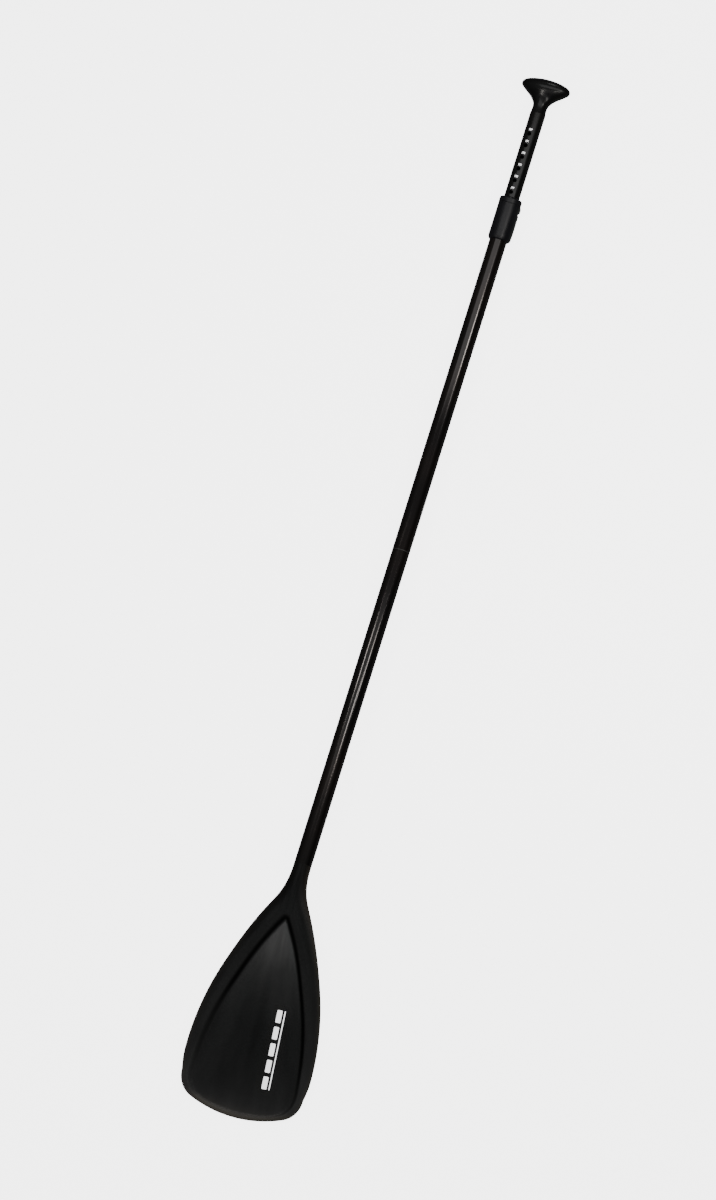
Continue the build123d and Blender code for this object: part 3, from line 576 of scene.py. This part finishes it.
# The corner arc sits inside the tip's shallow arc and touches it.
tip_centre = BLADE_LENGTH - TIP_ARC_RADIUS
corner_reach = ((TIP_ARC_RADIUS - CORNER_RADIUS) ** 2 - CORNER_HALF_SPREAD**2) ** 0.5
corner_centre = np.array([tip_centre + corner_reach, CORNER_HALF_SPREAD])
corner_angle = np.arctan2(CORNER_HALF_SPREAD, corner_centre[0] - tip_centre)
corner_middle = (corner_angle + pi / 2) / 2
side_stations = np.linspace(0, SIDE_WIDTHS[-1][0], 400)
side_line = np.column_stack([side_stations, through(SIDE_WIDTHS, side_stations)])
side_to_corner = np.vstack([side_line, arc(corner_centre, CORNER_RADIUS, pi / 2, corner_middle, 60)])
tip_to_corner = np.vstack(
    [
        arc((tip_centre, 0), TIP_ARC_RADIUS, 0, corner_angle, 80),
        arc(corner_centre, CORNER_RADIUS, corner_angle, corner_middle, 60),
    ]
)
half_outline = np.vstack([side_to_corner, tip_to_corner[::-1]])

floor_stations = np.linspace(FLOOR_APEX, FLOOR_SIDE[-1][0], 120)
floor_side = np.column_stack([floor_stations, through(FLOOR_SIDE, floor_stations)])
end_points = np.array(FLOOR_END_CURVE)
end_length = np.concatenate([[0], np.cumsum(np.linalg.norm(np.diff(end_points, axis=0), axis=1))])
end_at = np.linspace(0, end_length[-1], 60)
floor_end = np.column_stack(
    [through(list(zip(end_length, end_points[:, axis])), end_at) for axis in (0, 1)]
)
half_floor = np.vstack([floor_side, floor_end])


def blade_plan(row_station, share):
    """Plan points of a cross line: straight across, then bending with the tip's arc past PATCH_START."""
    straight_width = through(SIDE_WIDTHS, min(row_station, PATCH_START))
    if row_station <= PATCH_START:
        return np.stack([np.full_like(share, row_station), share * straight_width], axis=-1)
    a = (row_station - PATCH_START) / (BLADE_LENGTH - PATCH_START)
    beyond = side_to_corner[side_to_corner[:, 0] > PATCH_START]
    side = along(np.vstack([[PATCH_START, straight_width], beyond]), a)
    w = share[:, None]
    tip = along(tip_to_corner, share) - (1 - w) * tip_to_corner[0] - w * tip_to_corner[-1]
    return (1 - w) * np.array([row_station, 0.0]) + w * side + a * tip


def bell(value, spread):
    """1 at zero, falling smoothly to either side."""
    return np.exp(-((value / spread) ** 2))


def blade_heights(plan):
    """Height of the face, height of the back and the surface marks, at plan points of half the blade."""
    station, width = plan[..., 0], plan[..., 1]
    edge = distance_to(half_outline, plan)
    side_width = np.maximum(through(SIDE_WIDTHS, station), 1)
    across = np.clip(width / side_width, 0, 1)
    oval = np.sqrt(np.maximum(1 - across**2, 0))
    plate = ease(station, *NECK_TO_PLATE)
    rounding = np.sqrt(np.clip(1 - (1 - np.clip(edge / EDGE_ROUNDING, 0, 1)) ** 2, 0, 1))

    bead = ease(station, *TIP_BEAD_STARTS)
    crown = RAIL_CROWN_WIDTH + (BEAD_CROWN_WIDTH - RAIL_CROWN_WIDTH) * bead
    rail = through(RAIL_HEIGHT, station)
    climb = np.sin(pi / 2 * np.clip(edge / crown, 0, 1))
    rail_top = EDGE_HALF_THICKNESS + (rail - EDGE_HALF_THICKNESS) * climb
    face = (1 - plate) * rail * oval + plate * rail_top * rounding
    to_floor = distance_to(half_floor, plan)
    end_width = np.interp(station, half_floor[:, 0], half_floor[:, 1], left=0, right=0)
    inside = (station > FLOOR_APEX) & (station < FLOOR_END) & (width < end_width)
    wall = ease(np.where(inside, 0, to_floor), 0, WALL_WIDTH * (1 - BEAD_WALL_NARROWING * bead))
    ridge = RIDGE_HEIGHT * bell(width, RIDGE_WIDTH)
    ridge = ridge * ease(station, *RIDGE_RISES) * (1 - ease(station, *RIDGE_ENDS))
    panel = through(FLOOR_HEIGHT, station) + ridge
    face = np.where(station > FLOOR_APEX - APEX_LEAD, panel + (face - panel) * wall, face)

    depth = through(BACK_DEPTH, station)
    shell = EDGE_HALF_THICKNESS + (depth - EDGE_HALF_THICKNESS) * (1 - across**2) ** BACK_FULLNESS
    back = (1 - plate) * depth * oval + plate * shell * rounding
    spine_width = SPINE_WIDTH + (SPINE_END_WIDTH - SPINE_WIDTH) * ease(station, *SPINE_NARROWS)
    back = back + through(SPINE_HEIGHT, station) * bell(width, spine_width) * oval

    rim_wear = np.exp(-edge / RIM_WEAR_WIDTH)
    tip_wear = TIP_WEAR * ease(station, *TIP_WEAR_STARTS) * np.exp(-edge / TIP_WEAR_WIDTH)
    shown = ease(station, FLOOR_APEX - MARK_LEAD, FLOOR_APEX)
    # Painted shade in the crease at the foot of the panel's walls, fading sooner on the left (+Y) side than
    # on the right.
    crease_shade = shown * 4 * wall * (1 - wall) * (1 - ease(station, *CREASE_SHADE_ENDS))
    left_fade = 1 - ease(station, *LEFT_CREASE_SHADE_FADES)
    right_fade = 1 - RIGHT_CREASE_SHADE_LOSS * ease(station, *RIGHT_CREASE_SHADE_FADES)
    on_panel = shown * (1 - wall)
    shadow = RIDGE_SHADOW * bell(width, RIDGE_SHADOW_WIDTH)
    shadow = shadow * ease(station, *RIDGE_SHADOW_STARTS) * (1 - ease(station, *RIDGE_SHADOW_ENDS))
    # On the panel the tone is a painted sheen, brightest at the apex, and a painted shadow darkens it along
    # the ridge; on the rails it grows paler towards the tip.
    tone = np.interp(station, *RAIL_TONE) * (1 - on_panel) + np.interp(station, *PANEL_SHEEN_TONE) * on_panel
    marks = {
        "wear": rim_wear + tip_wear,
        "panel": on_panel,
        "left groove": crease_shade * left_fade,
        "crease_shade": crease_shade * right_fade,
        "fan": np.clip(width / np.maximum(station - FAN_ORIGIN, FAN_LEAST_REACH), 0, 1),
        "tone": tone * (1 - shadow),
    }
    return centre_height(station) + face, centre_height(station) - back, marks


FLOOR_COLUMNS, WALL_COLUMNS, RAIL_COLUMNS, RIM_COLUMNS = 18, 8, 14, 8
BLADE_ROWS = 170
TIP_ROWS = 9
LEAST_FLOOR_WIDTH = 1.5
WALL_REACH = 1.15
MOST_WALL_SHARE = 0.95
MOST_RIM_SHARE = 0.2


def cross_shares(row_station):
    """Where the columns of a cross line lie, following the panel's walls and crowding at the rim."""
    width = through(SIDE_WIDTHS, min(row_station, PATCH_START))
    floor_width = LEAST_FLOOR_WIDTH
    if row_station > FLOOR_APEX:
        floor_width = max(np.interp(row_station, floor_side[:, 0], floor_side[:, 1]), LEAST_FLOOR_WIDTH)
    floor_share = floor_width / width
    wall_share = min(floor_share + WALL_WIDTH * WALL_REACH / width, MOST_WALL_SHARE)
    rim_share = 1 - min(EDGE_ROUNDING / width, MOST_RIM_SHARE)
    rim = rim_share + (1 - rim_share) * np.sin(np.linspace(0, pi / 2, RIM_COLUMNS + 1))
    return np.concatenate(
        [
            np.linspace(0, floor_share, FLOOR_COLUMNS + 1),
            np.linspace(floor_share, wall_share, WALL_COLUMNS + 1)[1:],
            np.linspace(wall_share, rim_share, RAIL_COLUMNS + 1)[1:],
            rim[1:],
        ]
    )


def blade_piece():
    """The whole moulding as closed rings, each running over the face and back under the blade."""
    tip_rows = BLADE_LENGTH - EDGE_ROUNDING * (1 - np.sin(np.linspace(0, pi / 2, TIP_ROWS)))
    rows = np.concatenate([np.linspace(0, BLADE_LENGTH - EDGE_ROUNDING, BLADE_ROWS), tip_rows[1:]])
    rings, marks = [], {"wear": [], "panel": [], "crease_shade": [], "fan": [], "tone": []}
    for row in rows:
        share = cross_shares(row)
        plan = blade_plan(row, share)
        face, back, row_marks = blade_heights(plan)
        if row >= BLADE_LENGTH - 1e-6:
            face = back = centre_height(plan[:, 0])
        x, y = NECK_X - plan[:, 0], plan[:, 1]
        face_line = np.column_stack([x, y, face])
        back_line = np.column_stack([x, y, back])
        back_line[-1] = face_line[-1] = (x[-1], y[-1], centre_height(plan[-1, 0]))
        flip = np.array([1, -1, 1])
        rings.append(
            np.vstack([face_line[::-1] * flip, face_line[1:], back_line[-2::-1], back_line[1:-1] * flip])
        )
        # The painted crease shade fades differently on the left (+Y) half.
        left_crease_shade = row_marks.pop("left groove")
        for name, mark in row_marks.items():
            left = left_crease_shade if name == "crease_shade" else mark
            right = -mark if name == "fan" else mark
            behind = mark if name in ("wear", "tone") else mark * 0
            marks[name].append(np.concatenate([right[::-1], left[1:], behind[-2::-1], behind[1:-1]]))
    neck = rings[0]
    stem = neck.copy()
    stem[:, 1:] *= (SHAFT_RADIUS - SHAFT_WALL) / SHAFT_RADIUS
    inner = stem.copy()
    inner[:, 0] += STEM_LENGTH
    rings = [inner, stem, *rings]
    columns = len(neck)
    piece = mesh_object(
        "blade_moulding",
        np.vstack(rings),
        ring_faces(len(rings), columns),
        blade_black,
        "blade_section",
    )
    places = np.vstack(rings) * MM
    for name, values in marks.items():
        on_stem = values[0] * 0
        store_on_points(piece, name, places, np.concatenate([on_stem, on_stem, *values]))
    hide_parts("blade")


blade_piece()


def face_point(station, width, lift):
    """A point of the blade's face, raised by lift, in millimetres."""
    plan = np.array([[station, abs(width)]])
    return NECK_X - station, width, blade_heights(plan)[0][0] + lift


# ---------------------------------------------------------------- grip
# Height above the handle tube's end, half width and half depth of the grip's oval sections
GRIP_PROFILE = (
    (0.0, 12.5, 12.5),
    (4.0, 12.1, 12.1),
    (9.0, 11.8, 11.7),
    (15.5, 12.8, 12.0),
    (21.0, 16.2, 12.9),
    (26.2, 21.0, 14.2),
    (31.0, 27.2, 16.0),
    (35.2, 33.0, 17.9),
    (38.8, 37.4, 19.3),
    (42.0, 40.2, 20.2),
    (45.0, 40.8, 20.5),
    (47.9, 40.0, 20.2),
    (50.7, 37.6, 19.1),
    (53.1, 33.2, 17.0),
    (55.2, 26.6, 13.8),
    (56.9, 18.6, 9.7),
    (58.0, 10.0, 5.3),
    (58.4, 4.6, 2.4),
    (58.5, 0.0, 0.0),
)


GRIP_RINGS = 90
GRIP_TOP_OPENING = 0.4
GRIP_COLUMNS = 96


def grip_piece():
    """The palm grip as oval rings from its stem to the middle of its dome."""
    profile = np.array(GRIP_PROFILE)
    length = np.concatenate([[0], np.cumsum(np.linalg.norm(np.diff(profile[:, :2], axis=0), axis=1))])
    at = np.linspace(0, length[-1] - GRIP_TOP_OPENING, GRIP_RINGS)
    heights, widths, depths = (
        through(np.column_stack([length, profile[:, axis]]), at) for axis in range(3)
    )
    angle = np.linspace(0, 2 * pi, GRIP_COLUMNS, endpoint=False)
    rings = [
        np.column_stack([np.full_like(angle, HANDLE_TOP + h), w * np.cos(angle), d * np.sin(angle)])
        for h, w, d in zip(heights, widths, depths)
    ]
    stem_radius = HANDLE_RADIUS - HANDLE_WALL
    stem = rings[0] * [1, stem_radius / widths[0], stem_radius / depths[0]]
    rings = [stem - [GRIP_STEM_LENGTH, 0, 0], stem, *rings]
    piece = mesh_object(
        "palm_grip",
        np.vstack(rings),
        ring_faces(len(rings), len(angle)),
        grip_black,
        "handle_section",
    )
    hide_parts("grip")


grip_piece()

# ---------------------------------------------------------------- printed marks
FIRST_HOLE_X = 710.0
HOLE_PITCH = 20.0
HOLE_COUNT = 19
FIRST_LENGTH_CM = 198
CM_PER_HOLE = 2
NUMBER_HEIGHT = 5.0
NUMBER_RISE = 5.4
INK_LIFT = 0.03
INK_THICKNESS = 0.05
NUMBER_BOLDNESS = 0.12
NUMBER_NARROWING = 0.8


def length_numbers():
    """The length in centimetres at each hole, printed round the handle tube above it."""
    vertices, faces = [], []
    for index in range(HOLE_COUNT):
        curve = bpy.data.curves.new("number", "FONT")
        curve.body = str(FIRST_LENGTH_CM - CM_PER_HOLE * index)
        curve.size = NUMBER_HEIGHT
        curve.align_x = "CENTER"
        curve.extrude = INK_THICKNESS / 2
        curve.offset = NUMBER_BOLDNESS
        text = bpy.data.objects.new("number", curve)
        printed = bpy.data.meshes.new_from_object(text)
        base = FIRST_HOLE_X - HOLE_PITCH * index + NUMBER_RISE
        first = len(vertices)
        for vertex in printed.vertices:
            across, up, out = vertex.co
            radius = HANDLE_RADIUS + INK_LIFT + INK_THICKNESS / 2 + out
            turn = NUMBER_NARROWING * across / HANDLE_RADIUS
            vertices.append((base + up, -radius * sin(turn), radius * cos(turn)))
        faces += [tuple(first + v for v in face.vertices) for face in printed.polygons]
        bpy.data.objects.remove(text)
        bpy.data.curves.remove(curve)
        bpy.data.meshes.remove(printed)
    mesh_object("length_numbers", vertices, faces, glowing_white_ink, "handle_section")


STRIPE_START = (231.0, -29.2)
STRIPE_END = (357.0, -36.0)
STRIPE_DASHES = 5
DASH_HALF_WIDTH = 4.2
DASH_CORNER = 1.6
DASH_GAP = 6.5
LINE_OFFSET = 8.6
LINE_HALF_WIDTH = 0.9
END_STEPS = 7
MIDDLE_STEPS = 30
COLUMNS_ACROSS = 9


def printed_bar(start, end, half_width, corner):
    """Rings of a printed bar on the blade's panel, from one (station, width) place to another."""
    reach = np.linalg.norm(end - start)
    forward = (end - start) / reach
    side = np.array([-forward[1], forward[0]])
    lengths = np.concatenate(
        [
            corner * (1 - np.cos(np.linspace(0, pi / 2, END_STEPS))),
            np.linspace(corner, reach - corner, MIDDLE_STEPS)[1:-1],
            reach - corner + corner * np.sin(np.linspace(0, pi / 2, END_STEPS)),
        ]
    )
    inset = np.minimum(np.minimum(lengths, reach - lengths), corner)
    halves = half_width - corner + np.sqrt(np.maximum(corner**2 - (corner - inset) ** 2, 0.0004))
    columns = np.linspace(-1, 1, COLUMNS_ACROSS)
    rings = []
    for at, half in zip(lengths, halves):
        plan = start + forward * at + np.outer(columns * half, side)
        top = [face_point(*place, INK_LIFT + INK_THICKNESS) for place in plan]
        low = [face_point(*place, INK_LIFT) for place in plan]
        rings.append(np.array(top + low[::-1]))
    return rings


def blade_stripe():
    """A plain row of dashes with a thin line beside it, printed along the right of the panel."""
    start, end = np.array(STRIPE_START), np.array(STRIPE_END)
    forward = (end - start) / np.linalg.norm(end - start)
    beside = np.array([forward[1], -forward[0]]) * LINE_OFFSET
    pitch = (np.linalg.norm(end - start) + DASH_GAP) / STRIPE_DASHES
    bars = []
    for i in range(STRIPE_DASHES):
        dash_start = start + forward * pitch * i
        dash_end = start + forward * (pitch * (i + 1) - DASH_GAP)
        bars.append((dash_start, dash_end, DASH_HALF_WIDTH, DASH_CORNER))
    bars.append((start + beside, end + beside, LINE_HALF_WIDTH, LINE_HALF_WIDTH))
    vertices, faces = [], []
    for bar in bars:
        rings = printed_bar(*bar)
        first = len(vertices)
        vertices += list(np.vstack(rings))
        faces += [tuple(first + v for v in face) for face in ring_faces(len(rings), len(rings[0]))]
    mesh_object("panel_stripe", vertices, faces, glowing_white_ink, "blade_section")


length_numbers()
blade_stripe()

# ---------------------------------------------------------------- floor, lights and camera
FLOOR_REACH = 14.0
FLOOR_GAP = 0.0005
FLOOR_GLOW = 4.5
LEVER_REST_INSET = 0.03


def floor_plane():
    """A wide pale floor under the two places that the paddle lies on: the blade's tip and the lever."""
    tip_x, tip_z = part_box("blade")[0].x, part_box("blade")[0].z
    lever_x, lever_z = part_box("clamp_lever")[0].x + LEVER_REST_INSET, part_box("clamp_lever")[0].z
    slope = (lever_z - tip_z) / (lever_x - tip_x)
    mesh = bpy.data.meshes.new("floor")
    corners = []
    for side_x, side_y in ((-1, -1), (1, -1), (1, 1), (-1, 1)):
        x, y = side_x * FLOOR_REACH, side_y * FLOOR_REACH
        corners.append((x, y, tip_z + slope * (x - tip_x) - FLOOR_GAP))
    mesh.from_pydata(corners, [], [(0, 1, 2, 3)])
    floor = bpy.data.objects.new("floor", mesh)
    bpy.context.scene.collection.objects.link(floor)
    made, tree, shader = new_material("floor_pale", (0.9, 0.9, 0.9), 0.9, specular=0.1)
    mottled = mix_colour(tree, noise(tree, 3, detail=3), (0.88, 0.88, 0.88), (0.92, 0.92, 0.92))
    tree.links.new(mottled, shader.inputs["Base Color"])
    shader.inputs["Emission Color"].default_value = (1, 1, 1, 1)
    shader.inputs["Emission Strength"].default_value = FLOOR_GLOW
    mesh.materials.append(made)
    floor.visible_glossy = False
    floor.visible_diffuse = False


CAMERA_TOWARDS_BLADE = 10.0
CAMERA_TOWARDS_RIGHT = 17.0
CAMERA_ROLL = 17.41
CAMERA_LENS = 400.0
FRAME_HEIGHT = 1.9135
AIM_RIGHT = -0.0684
AIM_UP = -0.0773


def soft_box(name, x, lean, reach, length, spread, radiance, colour):
    """A rectangular light over the shaft. It leans from straight up towards the right, in degrees."""
    width = 2 * reach * np.tan(radians(spread) / 2)
    light = bpy.data.lights.new(name, "AREA")
    light.shape = "RECTANGLE"
    light.size, light.size_y = length, width
    light.energy = radiance * pi * length * width
    light.color = colour
    lamp = bpy.data.objects.new(name, light)
    beside, above = -sin(radians(lean)), cos(radians(lean))
    lamp.location = (x + reach * np.tan(radians(CAMERA_TOWARDS_BLADE)), reach * beside, reach * above)
    along_shaft = Vector((1, 0, 0))
    back = Vector((0, beside, above))
    lamp.rotation_euler = Matrix((along_shaft, back.cross(along_shaft), back)).transposed().to_euler()
    bpy.context.scene.collection.objects.link(lamp)


def world_light():
    """A dim dome, brightest overhead and darkest at the horizon, as in a room with dark walls."""
    world = bpy.data.worlds.new("studio")
    world.use_nodes = True
    tree = world.node_tree
    place = tree.nodes.new("ShaderNodeTexCoord")
    split = tree.nodes.new("ShaderNodeSeparateXYZ")
    tree.links.new(place.outputs["Generated"], split.inputs["Vector"])
    height = remap(tree, split.outputs["Z"], 0.05, 0.24, 0.15, 1.0)
    below = remap(tree, split.outputs["Z"], 0.10, 0.0, -0.6, 0.0)
    background = tree.nodes["Background"]
    background.inputs["Color"].default_value = (1, 1, 1, 1)
    tree.links.new(combine(tree, "ADD", height, below), background.inputs["Strength"])
    bpy.context.scene.world = world


def camera():
    """A long lens above the blade's face, turned so that the shaft leans to the right."""
    towards = Vector(
        (
            -sin(radians(CAMERA_TOWARDS_BLADE)),
            -sin(radians(CAMERA_TOWARDS_RIGHT)) * cos(radians(CAMERA_TOWARDS_BLADE)),
            cos(radians(CAMERA_TOWARDS_RIGHT)) * cos(radians(CAMERA_TOWARDS_BLADE)),
        )
    )
    forward = -towards
    shaft = Vector((1, 0, 0))
    shaft = (shaft - forward * shaft.dot(forward)).normalized()
    beside = forward.cross(shaft)
    roll = radians(CAMERA_ROLL)
    up = cos(roll) * shaft - sin(roll) * beside
    right = forward.cross(up)
    data = bpy.data.cameras.new("camera")
    data.lens = CAMERA_LENS
    distance = FRAME_HEIGHT * CAMERA_LENS / data.sensor_width
    data.clip_end = 200
    view = bpy.data.objects.new("camera", data)
    view.location = right * AIM_RIGHT + up * AIM_UP + towards * distance
    view.rotation_euler = Matrix((right, up, towards)).transposed().to_euler()
    bpy.context.scene.collection.objects.link(view)
    bpy.context.scene.camera = view


WHITE = (1, 1, 1)
WARM = (1.0, 0.95, 0.90)

# Name, place along the shaft, lean in degrees, reach, length, spread in degrees, radiance and colour
SOFT_BOXES = (
    ("upper_wide", 0.54, 12, 1.2, 0.50, 70, 1.5, WHITE),
    ("upper_strip", 0.385, 40, 1.2, 0.12, 9, 24.0, WARM),
    ("lower_wide", -0.25, 12, 1.2, 0.34, 56, 0.6, WHITE),
    ("lower_strip_right", -0.20, 38, 1.2, 0.12, 8, 17.0, WARM),
    ("lower_strip_middle", -0.30, 27, 1.2, 0.12, 7, 20.0, WARM),
    ("lower_strip_left", -0.19, -17, 1.2, 0.11, 8, 22.0, WARM),
    ("panel_sheen", -0.95, -17, 1.2, 0.20, 16, 3.0, WHITE),
    ("grip_edge", 2.1, 2, 1.2, 0.30, 30, 9.0, WHITE),
)

floor_plane()
world_light()
for soft_box_row in SOFT_BOXES:
    soft_box(*soft_box_row)
camera()
